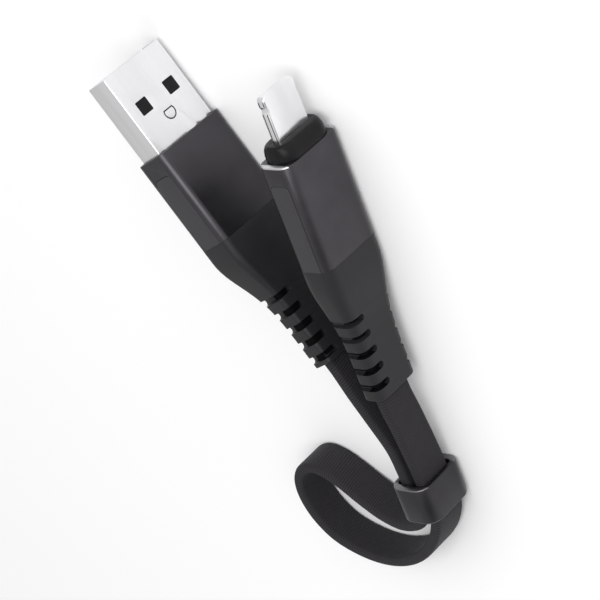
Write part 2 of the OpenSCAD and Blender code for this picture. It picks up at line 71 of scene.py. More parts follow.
# The cord's route as in the part's source, in metres from the USB plug's swing axis. The
# third value is the height: 0 on the floor, 1 in the keeper ring, 2 in a plug.
ROUTE = [
    (0, 0, 2), (-0.0035, 0, 2), (-0.0074, 0.0005, 1.93), (-0.0124, 0.0015, 1.62),
    (-0.0179, 0.0027, 1.28), (-0.0219, 0.0044, 1.1), (-0.0261, 0.0062, 1),
    (-0.0289, 0.0074, 0.85), (-0.0304, 0.0091, 0.7), (-0.0306, 0.0116, 0.58),
    (-0.0298, 0.0146, 0.4), (-0.0274, 0.0173, 0.28), (-0.0242, 0.0195, 0.15),
    (-0.0208, 0.0213, 0.06), (-0.0182, 0.023, 0), (-0.0164, 0.0252, 0),
    (-0.0163, 0.0278, 0), (-0.0179, 0.0302, 0), (-0.0207, 0.0317, 0),
    (-0.0244, 0.0321, 0), (-0.0284, 0.031, 0), (-0.0321, 0.0279, 0),
    (-0.0347, 0.024, 0), (-0.0359, 0.0196, 0.04), (-0.0357, 0.0152, 0.15),
    (-0.0344, 0.011, 0.32), (-0.0324, 0.0075, 0.52), (-0.0299, 0.0048, 0.76),
    (-0.0273, 0.0036, 1), (-0.0218, 0.0012, 1.2), (-0.0159, -0.0013, 1.6),
    (-0.0113, -0.0032, 2), (-0.0081, -0.0046, 2),
]
# Route points inside the ring, on the USB plug's strand and on the tab plug's strand
USB_STRAND, TAB_STRAND = 6, 28


# --- Sizes and colours ------------------------------------------------------------------
def size(label, text, value):
    """A length that a user may change, in metres."""
    return bpy.props.FloatProperty(
        name=label, description=text, default=value, min=0, precision=5,
        subtype="DISTANCE", unit="LENGTH",
    )


def shade(label, text, value):
    """A colour that a user may change."""
    return bpy.props.FloatVectorProperty(
        name=label, description=text, default=value, min=0, max=1, size=3, subtype="COLOR",
    )


class RibbonSizes(bpy.types.PropertyGroup):
    width: size("Width", "Width of the woven ribbon over its edges", 6.2 * MM)
    thickness: size("Thickness", "Thickness of the woven ribbon", 1.8 * MM)
    edge: size("Edge radius", "Rounding of the ribbon's edges", 0.6 * MM)
    rib: size("Twill pitch", "Distance between two diagonal ribs of the weave", 0.4 * MM)
    rest: size("Rest gap", "Gap between the loop's lower edge and the floor", 0.05 * MM)
    steps: bpy.props.IntProperty(
        name="Steps", description="Rings of the swept ribbon between two route points",
        default=8, min=1, max=20,
    )


class UsbPlugSizes(bpy.types.PropertyGroup):
    shell_width: size("Shell width", "Width of the steel shell", 12 * MM)
    shell_thickness: size("Shell thickness", "Thickness of the steel shell", 4.5 * MM)
    sheet: size("Sheet", "Sheet thickness of the shell", 0.3 * MM)
    shell_out: size("Shell length", "Shell outside the sleeve", 13.1 * MM)
    shell_in: size("Shell root", "Shell inside the sleeve", 7.6 * MM)
    latch_hole: size("Latch hole", "Side of a square latch hole", 2.2 * MM)
    latch_pitch: size("Latch pitch", "Distance between the latch holes", 6 * MM)
    latch_back: size("Latch place", "Latch holes' distance behind the tip", 6.4 * MM)
    sleeve_width: size("Sleeve width", "Width of the aluminium sleeve", 13.4 * MM)
    sleeve_thickness: size("Sleeve thickness", "Thickness of the sleeve", 6.6 * MM)
    sleeve_length: size("Sleeve length", "Length of the sleeve", 15.2 * MM)
    sleeve_wall: size("Sleeve wall", "Wall of the sleeve", 0.55 * MM)
    sleeve_round: size("Sleeve radius", "Rounding along the sleeve's corners", 1.2 * MM)
    boot_length: size("Boot length", "Length of the strain relief boot", 23.4 * MM)
    mouth_side: size("Mouth side", "Rubber beside the ribbon's edges at the mouth", 0.8 * MM)
    first_slot: size("First slot", "Middle of the first slot behind the mouth", 1.3 * MM)
    slot_pitch: size("Slot pitch", "Distance between the boot's slots", 2.7 * MM)


class TabPlugSizes(bpy.types.PropertyGroup):
    tab_width: size("Tab width", "Width of the metal tab", 6.7 * MM)
    tab_thickness: size("Tab thickness", "Thickness of the metal tab", 1.5 * MM)
    tab_out: size("Tab length", "Tab outside the collar", 7.1 * MM)
    collar_width: size("Collar width", "Width of the plastic collar", 10 * MM)
    collar_thickness: size("Collar thickness", "Thickness of the collar", 4.2 * MM)
    collar_out: size("Collar length", "Collar outside the sleeve", 2.5 * MM)
    foot_width: size("Foot width", "Width of the collar's foot on the sleeve", 9.9 * MM)
    foot_thickness: size("Foot thickness", "Thickness of the collar's foot", 5.8 * MM)
    sleeve_width: size("Sleeve width", "Width of the aluminium sleeve", 11.9 * MM)
    sleeve_thickness: size("Sleeve thickness", "Thickness of the sleeve", 6.2 * MM)
    sleeve_length: size("Sleeve length", "Length of the sleeve", 17.1 * MM)
    sleeve_round: size("Sleeve radius", "Rounding along the sleeve's corners", 2 * MM)
    boot_length: size("Boot length", "Length of the strain relief boot", 23.1 * MM)
    mouth_side: size("Mouth side", "Rubber beside the ribbon's edges at the mouth", 1.15 * MM)
    first_slot: size("First slot", "Middle of the first slot behind the mouth", 2.3 * MM)
    slot_pitch: size("Slot pitch", "Distance between the boot's slots", 2.8 * MM)


class BootSizes(bpy.types.PropertyGroup):
    face: size("Face wall", "Rubber beside the ribbon's faces at the mouth", 1.05 * MM)
    swing: size("Swing depth", "Depth of the swing axis inside the mouth", 1.4 * MM)
    gap: size("Running gap", "Clearance of the ribbon in the mouth", 0.05 * MM)
    slot: size("Slot width", "Width of one slot along the boot", 1.1 * MM)
    slot_floor: size("Slot floor", "Rubber left between a slot and the ribbon", 0.2 * MM)
    slot_wrap: size("Slot wrap", "Reach of a slot onto one broad face", 2.9 * MM)
    slot_nick: size("Slot nick", "Reach of a slot onto the other broad face", 1 * MM)
    straight: size("Straight end", "Straight part of the boot at the sleeve", 2.2 * MM)
    flare: bpy.props.FloatProperty(
        name="Flare", description="Half angle of the flared mouth",
        default=math.radians(20), subtype="ANGLE", unit="ROTATION",
    )
    slots: bpy.props.IntProperty(
        name="Slots", description="Slots on each narrow side", default=5, min=1, max=5,
    )


class PadSizes(bpy.types.PropertyGroup):
    proud: size("Proud", "How far a side pad stands out of its sleeve", 0.05 * MM)
    thickness: size("Thickness", "Thickness of a side pad in its recess", 0.3 * MM)
    front: size("Front gap", "Sleeve left bare in front of a pad", 3 * MM)
    usb_width: size("USB pad width", "Width of the USB plug's pads", 3.9 * MM)
    tab_width: size("Tab pad width", "Width of the tab plug's pads", 3.4 * MM)
    corner: size("Corner radius", "Rounding of a pad's front corners", 0.9 * MM)


class RingSizes(bpy.types.PropertyGroup):
    length: size("Length", "Length of the keeper ring", 6 * MM)
    wall: size("Wall", "Wall of the ring beside the ribbon's faces", 0.8 * MM)
    end_wall: size("End wall", "Wall of the ring beyond the ribbon's edges", 1.2 * MM)
    face_gap: size("Face gap", "Clearance beside the ribbon's faces", 0.3 * MM)
    edge_gap: size("Edge gap", "Clearance beside the ribbon's edges", 0.5 * MM)
    corner: size("Corner radius", "Rounding of the ring's outside", 2.2 * MM)


class FinishColours(bpy.types.PropertyGroup):
    steel: shade("Steel", "Plated steel of the shell and the tab", (0.80, 0.80, 0.81))
    anodised: shade("Anodised", "Sleeves and ring", (0.062, 0.059, 0.065))
    rim: shade("Cut rim", "Aluminium left bare on the tab plug's sleeve", (0.6, 0.59, 0.61))
    ring_rim: shade("Ring's rim", "Ends of the keeper ring's rims", (0.19, 0.185, 0.195))
    pad: shade("Side pads", "Side pads of the plugs", (0.038, 0.036, 0.040))
    rubber: shade("Rubber", "Boots", (0.0125, 0.0115, 0.0135))
    weave: shade("Weave", "Yarn of the ribbon", (0.0235, 0.0220, 0.0250))
    collar: shade("Collar", "Black moulded plastic", (0.008, 0.0078, 0.0085))
    gold: shade("Contacts", "Plated contacts", (0.83, 0.58, 0.21))
    floor: shade("Floor", "Studio floor", (0.985, 0.985, 0.99))


class StageSettings(bpy.types.PropertyGroup):
    lens: bpy.props.FloatProperty(
        name="Focal length", description="Focal length of the camera, in millimetres",
        default=180, min=20,
    )
    sky: bpy.props.FloatProperty(
        name="Sky", description="Strength of the light from all round", default=0.9, min=0,
    )
    soft: bpy.props.FloatProperty(
        name="Soft box", description="Power of the large soft box above, in watts",
        default=1.3, min=0,
    )
    front: bpy.props.FloatProperty(
        name="Front card", description="Power of the card before the object, in watts",
        default=0.12, min=0,
    )


class CableSettings(bpy.types.PropertyGroup):
    ribbon: bpy.props.PointerProperty(type=RibbonSizes, name="Ribbon")
    usb: bpy.props.PointerProperty(type=UsbPlugSizes, name="USB plug")
    tab: bpy.props.PointerProperty(type=TabPlugSizes, name="Tab plug")
    boot: bpy.props.PointerProperty(type=BootSizes, name="Boots")
    pad: bpy.props.PointerProperty(type=PadSizes, name="Side pads")
    ring: bpy.props.PointerProperty(type=RingSizes, name="Keeper ring")
    colour: bpy.props.PointerProperty(type=FinishColours, name="Colours")
    stage: bpy.props.PointerProperty(type=StageSettings, name="Stage")


# --- Modelling by hand ------------------------------------------------------------------
def put_down():
    """Leave edit mode and deselect everything."""
    if bpy.context.object and bpy.context.object.mode != "OBJECT":
        bpy.ops.object.mode_set(mode="OBJECT")
    bpy.ops.object.select_all(action="DESELECT")


def pick_up(*pieces):
    """Select only these pieces, with the first one active."""
    put_down()
    for piece in pieces:
        piece.select_set(True)
    bpy.context.view_layer.objects.active = pieces[0]


def open_piece(piece):
    """Put one piece in edit mode."""
    pick_up(piece)
    bpy.ops.object.mode_set(mode="EDIT")


def choose(kind, test):
    """In edit mode, select only the items of a kind, VERT, EDGE or FACE, that pass a test."""
    bpy.ops.mesh.select_mode(type=kind)
    bpy.ops.mesh.select_all(action="DESELECT")
    data = bpy.context.edit_object.data
    grid = bmesh.from_edit_mesh(data)
    items = {"VERT": grid.verts, "EDGE": grid.edges, "FACE": grid.faces}[kind]
    found = [item for item in items if test(item)]
    for item in found:
        item.select_set(True)
    grid.select_flush_mode()
    bmesh.update_edit_mesh(data)
    if not found:
        raise RuntimeError(f"nothing to select on {data.name}")


def edge_runs(way):
    """A test for edges that run along a direction."""
    return lambda edge: abs((edge.verts[0].co - edge.verts[1].co).normalized().dot(way)) > 0.999


def edge_at(x):
    """A test for edges that lie in the plane across the piece at x."""
    return lambda edge: all(abs(vert.co.x - x) < SAME for vert in edge.verts)


def round_edges(piece, test, amount, steps):
    """Bevel the edges of a piece that pass a test."""
    open_piece(piece)
    choose("EDGE", test)
    bpy.ops.mesh.bevel(offset=amount, segments=steps, affect="EDGES")
    put_down()


def divide(place, way):
    """In edit mode, divide all faces where a plane crosses them."""
    bpy.ops.mesh.select_all(action="SELECT")
    bpy.ops.mesh.bisect(plane_co=place, plane_no=way, threshold=SAME)


def block(name, low, high):
    """Start a piece as a cube that fills the box between two corners."""
    put_down()
    low, high = Vector(low), Vector(high)
    bpy.ops.mesh.primitive_cube_add(size=1, location=(low + high) / 2, scale=high - low)
    bpy.ops.object.transform_apply(location=True, rotation=True, scale=True)
    made = bpy.context.object
    made.name = made.data.name = name
    return made


def bar(name, x0, x1, thick, wide, corner, steps=1):
    """A bar along X whose long corners are chamfered, or rounded in steps."""
    made = block(name, (x0, -thick / 2, -wide / 2), (x1, thick / 2, wide / 2))
    round_edges(made, edge_runs(FORWARD), corner, steps)
    return made


def rod(name, middle, radius, depth, way):
    """A round bar along a direction, used to cut with."""
    put_down()
    bpy.ops.mesh.primitive_cylinder_add(
        vertices=48, radius=radius, depth=depth, location=middle,
        rotation=way.to_track_quat("Z", "Y").to_euler(),
    )
    bpy.ops.object.transform_apply(location=True, rotation=True, scale=True)
    made = bpy.context.object
    made.name = made.data.name = name
    return made


def cut(piece, *tools, operation="DIFFERENCE"):
    """Cut a piece with others, or join them to it, and throw those away."""
    for tool in tools:
        pick_up(piece)
        step = piece.modifiers.new("Cut", "BOOLEAN")
        step.operation, step.object, step.solver = operation, tool, "EXACT"
        bpy.ops.object.modifier_apply(modifier=step.name)
        bpy.data.objects.remove(tool, do_unlink=True)


def soften(piece, width, steps=2, angle=34):
    """Round every sharp edge of a piece a little."""
    pick_up(piece)
    step = piece.modifiers.new("Soften", "BEVEL")
    step.width, step.segments, step.limit_method = width, steps, "ANGLE"
    step.angle_limit = math.radians(angle)
    bpy.ops.object.modifier_apply(modifier=step.name)


def split(piece, height):
    """Divide the faces of a piece at a height on both sides of its middle."""
    open_piece(piece)
    for z in (-height, height):
        divide((0, 0, z), UPRIGHT)
    put_down()


def coat(piece, paints):
    """Give a piece its materials, in the order of their slots."""
    for paint in paints:
        piece.data.materials.append(paint)


def paint_faces(piece, slot, test):
    """Give the faces that pass a test the material in another slot."""
    open_piece(piece)
    choose("FACE", test)
    piece.active_material_index = slot
    bpy.ops.object.material_slot_assign()
    put_down()


def place_of_usb(cable):
    """Where the USB plug's own frame stands: its boot's mouth at x = 0."""
    return Matrix.Translation(USB_SWING - FORWARD * cable.boot.swing)


def place_of_tab(cable):
    """Where the tab plug's own frame stands: its boot's mouth at x = 0."""
    turn = Matrix.Rotation(TAB_TURN, 4, "Z")
    return Matrix.Translation(TAB_SWING) @ turn @ Matrix.Translation(-FORWARD * cable.boot.swing)


def front_of(plug):
    """Distance of a sleeve's front edge from its boot's mouth."""
    return plug.boot_length + plug.sleeve_length


def settle(piece, place, body, cad_node, angle=30):
    """Apply a piece's place, smooth it, tie it to its body and hide its CAD node."""
    piece.matrix_world = place
    pick_up(piece)
    bpy.ops.object.transform_apply(location=True, rotation=True, scale=True)
    bpy.ops.object.shade_smooth_by_angle(angle=math.radians(angle))
    put_down()
    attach(piece, body)
    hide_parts(cad_node)


# --- Finishes ---------------------------------------------------------------------------
# Numbers of the Mix node's colour sockets
MIX_FROM, MIX_TO, MIX_RESULT = 6, 7, 2


def start_finish(name, roughness, metallic=0.0):
    """A new material, with its nodes, links and shader."""
    paint = bpy.data.materials.new(name)
    paint.use_nodes = True
    tree = paint.node_tree
    shader = tree.nodes["Principled BSDF"]
    shader.inputs["Roughness"].default_value = roughness
    shader.inputs["Metallic"].default_value = metallic
    return paint, tree, shader


def node(tree, kind, second=None, **settings):
    """A new node with its settings, and the value of its second input if it is given."""
    made = tree.nodes.new(kind)
    for key, value in settings.items():
        setattr(made, key, value)
    if second is not None:
        made.inputs[1].default_value = second
    return made


def coordinates(tree, stretch=(1, 1, 1), turn=0.0):
    """Object coordinates, turned about Z and stretched."""
    place = node(tree, "ShaderNodeTexCoord")
    moved = node(tree, "ShaderNodeMapping")
    moved.inputs["Rotation"].default_value = (0, 0, turn)
    moved.inputs["Scale"].default_value = stretch
    tree.links.new(place.outputs["Object"], moved.inputs["Vector"])
    return moved.outputs["Vector"]


def noise(tree, where, grain, detail=3.0, rough=0.55):
    """Noise whose grain is a size in metres."""
    made = node(tree, "ShaderNodeTexNoise")
    made.inputs["Scale"].default_value = 1 / grain
    made.inputs["Detail"].default_value = detail
    made.inputs["Roughness"].default_value = rough
    tree.links.new(where, made.inputs["Vector"])
    return made.outputs["Fac"]


def spread(tree, value, low, high, start=0.3, end=0.7):
    """A value mapped from the range start to end to the range low to high."""
    made = node(tree, "ShaderNodeMapRange")
    for name, number in (("From Min", start), ("From Max", end), ("To Min", low), ("To Max", high)):
        made.inputs[name].default_value = number
    tree.links.new(value, made.inputs["Value"])
    return made.outputs["Result"]


def tint(tree, value, dark, light):
    """A colour between two shades."""
    made = node(tree, "ShaderNodeMix", data_type="RGBA")
    made.inputs[MIX_FROM].default_value = (*dark, 1)
    made.inputs[MIX_TO].default_value = (*light, 1)
    tree.links.new(value, made.inputs["Factor"])
    return made.outputs[MIX_RESULT]


def bump(tree, shader, height, depth):
    """A bump of a depth in metres on a shader's normal."""
    made = node(tree, "ShaderNodeBump")
    made.inputs["Strength"].default_value = 1.0
    made.inputs["Distance"].default_value = depth
    tree.links.new(height, made.inputs["Height"])
    tree.links.new(made.outputs["Normal"], shader.inputs["Normal"])


def scaled(colour, factor):
    """A colour made darker or lighter."""
    return [min(1.0, part * factor) for part in colour[:3]]


def drifting(name, colour, roughness, metallic, drift, grain, depth, specular=0.5, sheen=0.0,
             **coords):
    """A finish whose shade and gloss drift a little over a fine surface grain."""
    paint, tree, shader = start_finish(name, roughness, metallic)
    shader.inputs["Specular IOR Level"].default_value = specular
    shader.inputs["Sheen Weight"].default_value = sheen
    where = coordinates(tree, **coords)
    cloud = noise(tree, where, drift)
    fine = noise(tree, where, grain, 2.0, 0.6)
    shades = tint(tree, spread(tree, cloud, 0, 1), scaled(colour, 0.9), scaled(colour, 1.1))
    tree.links.new(shades, shader.inputs["Base Color"])
    gloss = spread(tree, cloud, roughness * 0.92, roughness * 1.08)
    tree.links.new(gloss, shader.inputs["Roughness"])
    bump(tree, shader, fine, depth)
    return paint


def make_steel(colours, name="plated_steel", turn=0.0):
    """Nickel-plated steel: polished sheet with faint rolling lines along the plug."""
    return drifting(
        name, colours.steel, 0.24, 1.0, 5 * MM, 0.12 * MM, 0.0002 * MM,
        stretch=(0.06, 1, 1), turn=turn,
    )


def make_rim(name, colour):
    """Aluminium rim that a cutter left bare."""
    return drifting(name, colour, 0.36, 1.0, 2 * MM, 0.1 * MM, 0.001 * MM)


def make_anodised(colours, name="anodised_aluminium", share=1.0):
    """Bead-blasted aluminium, anodised dark grey."""
    return drifting(
        name, scaled(colours.anodised, share), 0.31, 0.85, 6 * MM, 0.11 * MM, 0.003 * MM,
        specular=0.35,
    )


def make_pad(colours):
    """Matt lacquered inlay of the sleeves."""
    return drifting("matt_pad", colours.pad, 0.55, 0.2, 5 * MM, 0.09 * MM, 0.004 * MM)


def make_rubber(colours):
    """Soft matt elastomer with a fine moulded skin."""
    return drifting(
        "boot_rubber", colours.rubber, 0.52, 0.0, 4 * MM, 0.14 * MM, 0.006 * MM,
        specular=0.3, sheen=0.05,
    )


def make_slot_painted_shade(colours):
    """Rubber down in the slots, darker and duller: painted shade in the slots."""
    return drifting(
        "slot_rubber_painted_shade", scaled(colours.rubber, 0.3), 0.8, 0.0, 2 * MM, 0.14 * MM, 0.006 * MM,
        specular=0.05,
    )


def make_collar_and_painted_groove_shade(colours):
    """Glossier black plastic of the collar; also the painted shade in the grooves of the steel
    shell and the metal tab.
    """
    return drifting(
        "black_plastic_and_painted_groove_shade", colours.collar, 0.34, 0.0, 3 * MM, 0.1 * MM, 0.002 * MM, specular=0.15,
    )


def make_weave(cable):
    """Woven yarn: diagonal ribs that follow the ribbon, each with fine twisted threads."""
    colours, rib = cable.colour, cable.ribbon.rib / MM
    paint, tree, shader = start_finish("woven_yarn", 0.62)
    shader.inputs["Specular IOR Level"].default_value = 0.1
    shader.inputs["Sheen Weight"].default_value = 0.03
    shader.inputs["Sheen Roughness"].default_value = 0.45
    chart = node(tree, "ShaderNodeUVMap", uv_map="lay")
    parts = node(tree, "ShaderNodeSeparateXYZ")
    tree.links.new(chart.outputs["UV"], parts.inputs["Vector"])

    def sums(along, over, period):
        """Sine wave along a direction of the ribbon's chart, in millimetres."""
        turns = math.tau / period
        first = node(tree, "ShaderNodeMath", along * turns, operation="MULTIPLY")
        second = node(tree, "ShaderNodeMath", over * turns, operation="MULTIPLY_ADD")
        wave = node(tree, "ShaderNodeMath", operation="SINE")
        tree.links.new(parts.outputs["X"], first.inputs[0])
        tree.links.new(parts.outputs["Y"], second.inputs[0])
        tree.links.new(first.outputs["Value"], second.inputs[2])
        tree.links.new(second.outputs["Value"], wave.inputs[0])
        return spread(tree, wave.outputs["Value"], 0, 1, -1, 1)

    slant = math.radians(-8)
    ribs = sums(math.cos(slant), math.sin(slant), rib)
    threads = sums(-math.sin(slant), math.cos(slant), rib * 0.62)
    both = node(tree, "ShaderNodeMath", 0.3, operation="MULTIPLY_ADD")
    tree.links.new(threads, both.inputs[0])
    tree.links.new(ribs, both.inputs[2])
    cloud = noise(tree, coordinates(tree), 1.6 * MM)
    fuzz = noise(tree, coordinates(tree), 0.12 * MM, 2.0)
    uneven = node(tree, "ShaderNodeMath", 0.5, operation="MULTIPLY_ADD")
    tree.links.new(fuzz, uneven.inputs[0])
    tree.links.new(both.outputs["Value"], uneven.inputs[2])
    mixed = node(tree, "ShaderNodeMath", 0.35, operation="MULTIPLY_ADD")
    tree.links.new(cloud, mixed.inputs[0])
    tree.links.new(uneven.outputs["Value"], mixed.inputs[2])
    shades = tint(
        tree, spread(tree, mixed.outputs["Value"], 0, 1, 0.3, 1.6),
        scaled(colours.weave, 0.55), scaled(colours.weave, 1.5),
    )
    tree.links.new(shades, shader.inputs["Base Color"])
    bump(tree, shader, uneven.outputs["Value"], 0.035 * MM)
    return paint


# --- Route of the cord ------------------------------------------------------------------
def route_points(cable):
    """The route's points in the row frame."""
    ribbon, ring = cable.ribbon, cable.ring
    floor_level = ribbon.width / 2 + ribbon.rest
    ring_level = ribbon.width / 2 + ring.edge_gap + ring.end_wall
    last = len(ROUTE) - 1
    points = []
    for i, (x, y, share) in enumerate(ROUTE):
        plug_level = USB_SWING.z if i < last / 2 else TAB_SWING.z
        if share <= 1:
            z = floor_level + (ring_level - floor_level) * share
        else:
            z = ring_level + (plug_level - ring_level) * (share - 1)
        points.append(Vector((USB_SWING.x + x, USB_SWING.y + y, z)))
    return points


def smooth_line(points, steps):
    """A smooth curve through points, with a number of steps between two of them."""
    ends = [2 * points[0] - points[1], *points, 2 * points[-1] - points[-2]]
    line = []
    for a, b, c, d in zip(ends, ends[1:], ends[2:], ends[3:]):
        for step in range(steps):
            t = step / steps
            line.append(
                0.5 * (2 * b + (c - a) * t + (2 * a - 5 * b + 4 * c - d) * t * t
                       + (3 * b - a - 3 * c + d) * t ** 3)
            )
    return [*line, points[-1]]


def oval(wide, thick, edge, steps=5):
    """Outline of the flat ribbon: offsets across and up, anticlockwise seen from ahead."""
    outline = []
    for side, top, start in ((1, -1, -90), (1, 1, 0), (-1, 1, 90), (-1, -1, 180)):
        for step in range(steps + 1):
            angle = math.radians(start + 90 * step / steps)
            outline.append((
                side * (thick / 2 - edge) + edge * math.cos(angle),
                top * (wide / 2 - edge) + edge * math.sin(angle),
            ))
    return outline


def sweep(name, line, outline):
    """Carry an outline along a line, kept upright, with a chart of it in millimetres."""
    grid = bmesh.new()
    chart = grid.loops.layers.uv.new("lay")
    count = len(line)
    rings, run = [], [0.0]
    for i, middle in enumerate(line):
        ahead = (line[min(i + 1, count - 1)] - line[max(i - 1, 0)]).normalized()
        across = UPRIGHT.cross(ahead).normalized()
        up = ahead.cross(across)
        rings.append([grid.verts.new(middle + across * y + up * z) for y, z in outline])
        if i:
            run.append(run[-1] + (middle - line[i - 1]).length)
    around = [0.0]
    for (y0, z0), (y1, z1) in zip(outline, outline[1:] + outline[:1]):
        around.append(around[-1] + math.hypot(y1 - y0, z1 - z0))
    size_of = len(outline)
    for i in range(count - 1):
        for k in range(size_of):
            after = (k + 1) % size_of
            face = grid.faces.new((
                rings[i][k], rings[i][after], rings[i + 1][after], rings[i + 1][k],
            ))
            places = ((run[i], around[k]), (run[i], around[k + 1]),
                      (run[i + 1], around[k + 1]), (run[i + 1], around[k]))
            for loop, (u, v) in zip(face.loops, places):
                loop[chart].uv = (u / MM, v / MM)
            face.smooth = True
    for ring in (rings[0], rings[-1]):
        cap = grid.faces.new(ring)
        for loop, (y, z) in zip(cap.loops, outline):
            loop[chart].uv = (y / MM, z / MM)
    bmesh.ops.recalc_face_normals(grid, faces=grid.faces)
    data = bpy.data.meshes.new(name)
    grid.to_mesh(data)
    grid.free()
    made = bpy.data.objects.new(name, data)
    bpy.context.scene.collection.objects.link(made)
    return made


# --- Operators --------------------------------------------------------------------------
class CABLE_OT_stage(bpy.types.Operator):
    """Set up the camera, the pale floor and the soft light"""

    bl_idname = "cable.stage"
    bl_label = "Stage"

    def execute(self, context):
        cable = context.scene.cable
        scene = context.scene
        put_down()
        right = Vector((-0.5959, -0.5321, -0.6014))
        back = Vector((0.1306, -0.8032, 0.5812)).normalized()
        right = (right - back * right.dot(back)).normalized()
        turn = Matrix((right, back.cross(right), back)).transposed().to_4x4()
        bpy.ops.object.camera_add()
        camera = context.object
        camera.name = "camera"
        camera.matrix_world = Matrix.Translation((0.0444, -0.3368, 0.2582)) @ turn
        camera.data.lens = cable.stage.lens
        camera.data.sensor_width = 36
        camera.data.clip_start, camera.data.clip_end = 0.01, 20
        scene.camera = camera

        put_down()
        bpy.ops.mesh.primitive_plane_add(size=4)
        floor = context.object
        floor.name = "floor"
        paint, tree, shader = start_finish("studio_floor", 0.8)
        shader.inputs["Specular IOR Level"].default_value = 0.1
        soft = noise(tree, coordinates(tree), 300 * MM)
        shades = tint(
            tree, spread(tree, soft, 0, 1), scaled(cable.colour.floor, 0.995),
            cable.colour.floor[:3],
        )
        tree.links.new(shades, shader.inputs["Base Color"])
        floor.data.materials.append(paint)

        sky = bpy.data.worlds.new("studio")
        scene.world = sky
        sky.use_nodes = True
        light = sky.node_tree.nodes["Background"]
        light.inputs["Strength"].default_value = cable.stage.sky
        self.shade_sky(sky.node_tree, light)
        self.soft_box(context, "soft_box", (0.03, -0.3, 0.42), 0.36, cable.stage.soft)
        self.soft_box(context, "front_card", (0.25, -0.3, 0.1), 0.2, cable.stage.front)
        scene.view_settings.view_transform = "Standard"
        scene.view_settings.look = "None"
        return {"FINISHED"}

    def shade_sky(self, tree, light):
        """Light from all round, dimmer behind the object and in a patch over its left."""
        place = node(tree, "ShaderNodeTexCoord")
        dots = []
        for way in ((-0.64, -0.36, 0.68), (0, 1, 0)):
            made = node(tree, "ShaderNodeVectorMath", way, operation="DOT_PRODUCT")
            tree.links.new(place.outputs["Generated"], made.inputs[0])
            dots.append(made.outputs["Value"])
        both = node(tree, "ShaderNodeMath", operation="MULTIPLY")
        tree.links.new(spread(tree, dots[0], 1, 0.3, 0.8, 0.97), both.inputs[0])
        tree.links.new(spread(tree, dots[1], 1, 0.72, -0.2, 0.8), both.inputs[1])
        tree.links.new(both.outputs["Value"], light.inputs["Color"])

    def soft_box(self, context, name, place, side, power):
        """A square light that faces the middle of the cable."""
        put_down()
        aim = Vector((-0.012, 0.008, 0.005)) - Vector(place)
        bpy.ops.object.light_add(
            type="AREA", location=place, rotation=aim.to_track_quat("-Z", "Y").to_euler(),
        )
        lamp = context.object
        lamp.name = name
        lamp.data.shape, lamp.data.size, lamp.data.energy = "SQUARE", side, power


class CABLE_OT_ribbon(bpy.types.Operator):
    """Lay the woven ribbon along its route, from one boot to the other"""

    bl_idname = "cable.ribbon"
    bl_label = "Woven ribbon"

    def execute(self, context):
        cable = context.scene.cable
        ribbon = cable.ribbon
        put_down()
        line = smooth_line(route_points(cable), ribbon.steps)
        cover = sweep("woven_ribbon", line, oval(ribbon.width, ribbon.thickness, ribbon.edge))
        cover.data.materials.append(make_weave(cable))
        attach(cover, "cord")
        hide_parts("ribbon_cover")
        return {"FINISHED"}


class CABLE_OT_usb_shell(bpy.types.Operator):
    """Fold the plated steel shell, with its latch holes and lance"""

    bl_idname = "cable.usb_shell"
    bl_label = "Steel shell"

    def execute(self, context):
        cable = context.scene.cable
        usb = cable.usb
        rear, tip = front_of(usb) - usb.shell_in, front_of(usb) + usb.shell_out
        shell = bar("steel_shell", rear, tip, usb.shell_thickness, usb.shell_width, 0.2 * MM, 5)
        round_edges(shell, edge_at(tip), 0.14 * MM, 3)
        cut(shell, bar(
            "inside", rear - MM, tip + MM, usb.shell_thickness - 2 * usb.sheet,
            usb.shell_width - 2 * usb.sheet, 0.1 * MM, 3,
        ))
        half = usb.latch_hole / 2
        for side in (-1, 1):
            middle = Vector((tip - usb.latch_back, 0, side * usb.latch_pitch / 2))
            reach = Vector((half, usb.shell_thickness, half))
            hole = block("hole", middle - reach, middle + reach)
            round_edges(hole, edge_runs(LEVEL), 0.18 * MM, 3)
            cut(shell, hole)
        cut(shell, self.lance(usb, tip))
        coat(shell, [make_steel(cable.colour), make_collar_and_painted_groove_shade(cable.colour)])
        # The D groove's faces get the black plastic: painted shade, standing in for the dark of a
        # slit.
        face_y = -usb.shell_thickness / 2
        paint_faces(shell, 1, lambda face: (
            0.01 * MM < face.calc_center_median().y - face_y < 0.2 * MM
            and abs(face.calc_center_median().z) < 1.3 * MM
            and 7 * MM < tip - face.calc_center_median().x < 11 * MM
        ))
        soften(shell, 0.03 * MM)
        settle(shell, place_of_usb(cable), "usb_plug", "usb_shell")
        return {"FINISHED"}

    def lance(self, usb, tip):
        """Cutter of the D-shaped groove pressed into the outer broad face."""
        middle = Vector((tip - usb.latch_back - 2.9 * MM, -usb.shell_thickness / 2, 0))
        deep = 0.36 * MM
        groove, island = (
            rod(name, middle, radius, depth, LEVEL)
            for name, radius, depth in (("groove", 1.08 * MM, deep), ("island", 0.9 * MM, MM))
        )
        for piece, flat in ((groove, 0.62 * MM), (island, 0.44 * MM)):
            low = middle + Vector((flat, -MM, -2 * MM))
            cut(piece, block("flat", low, low + Vector((2, 2, 4)) * MM))
        cut(groove, island)
        return groove


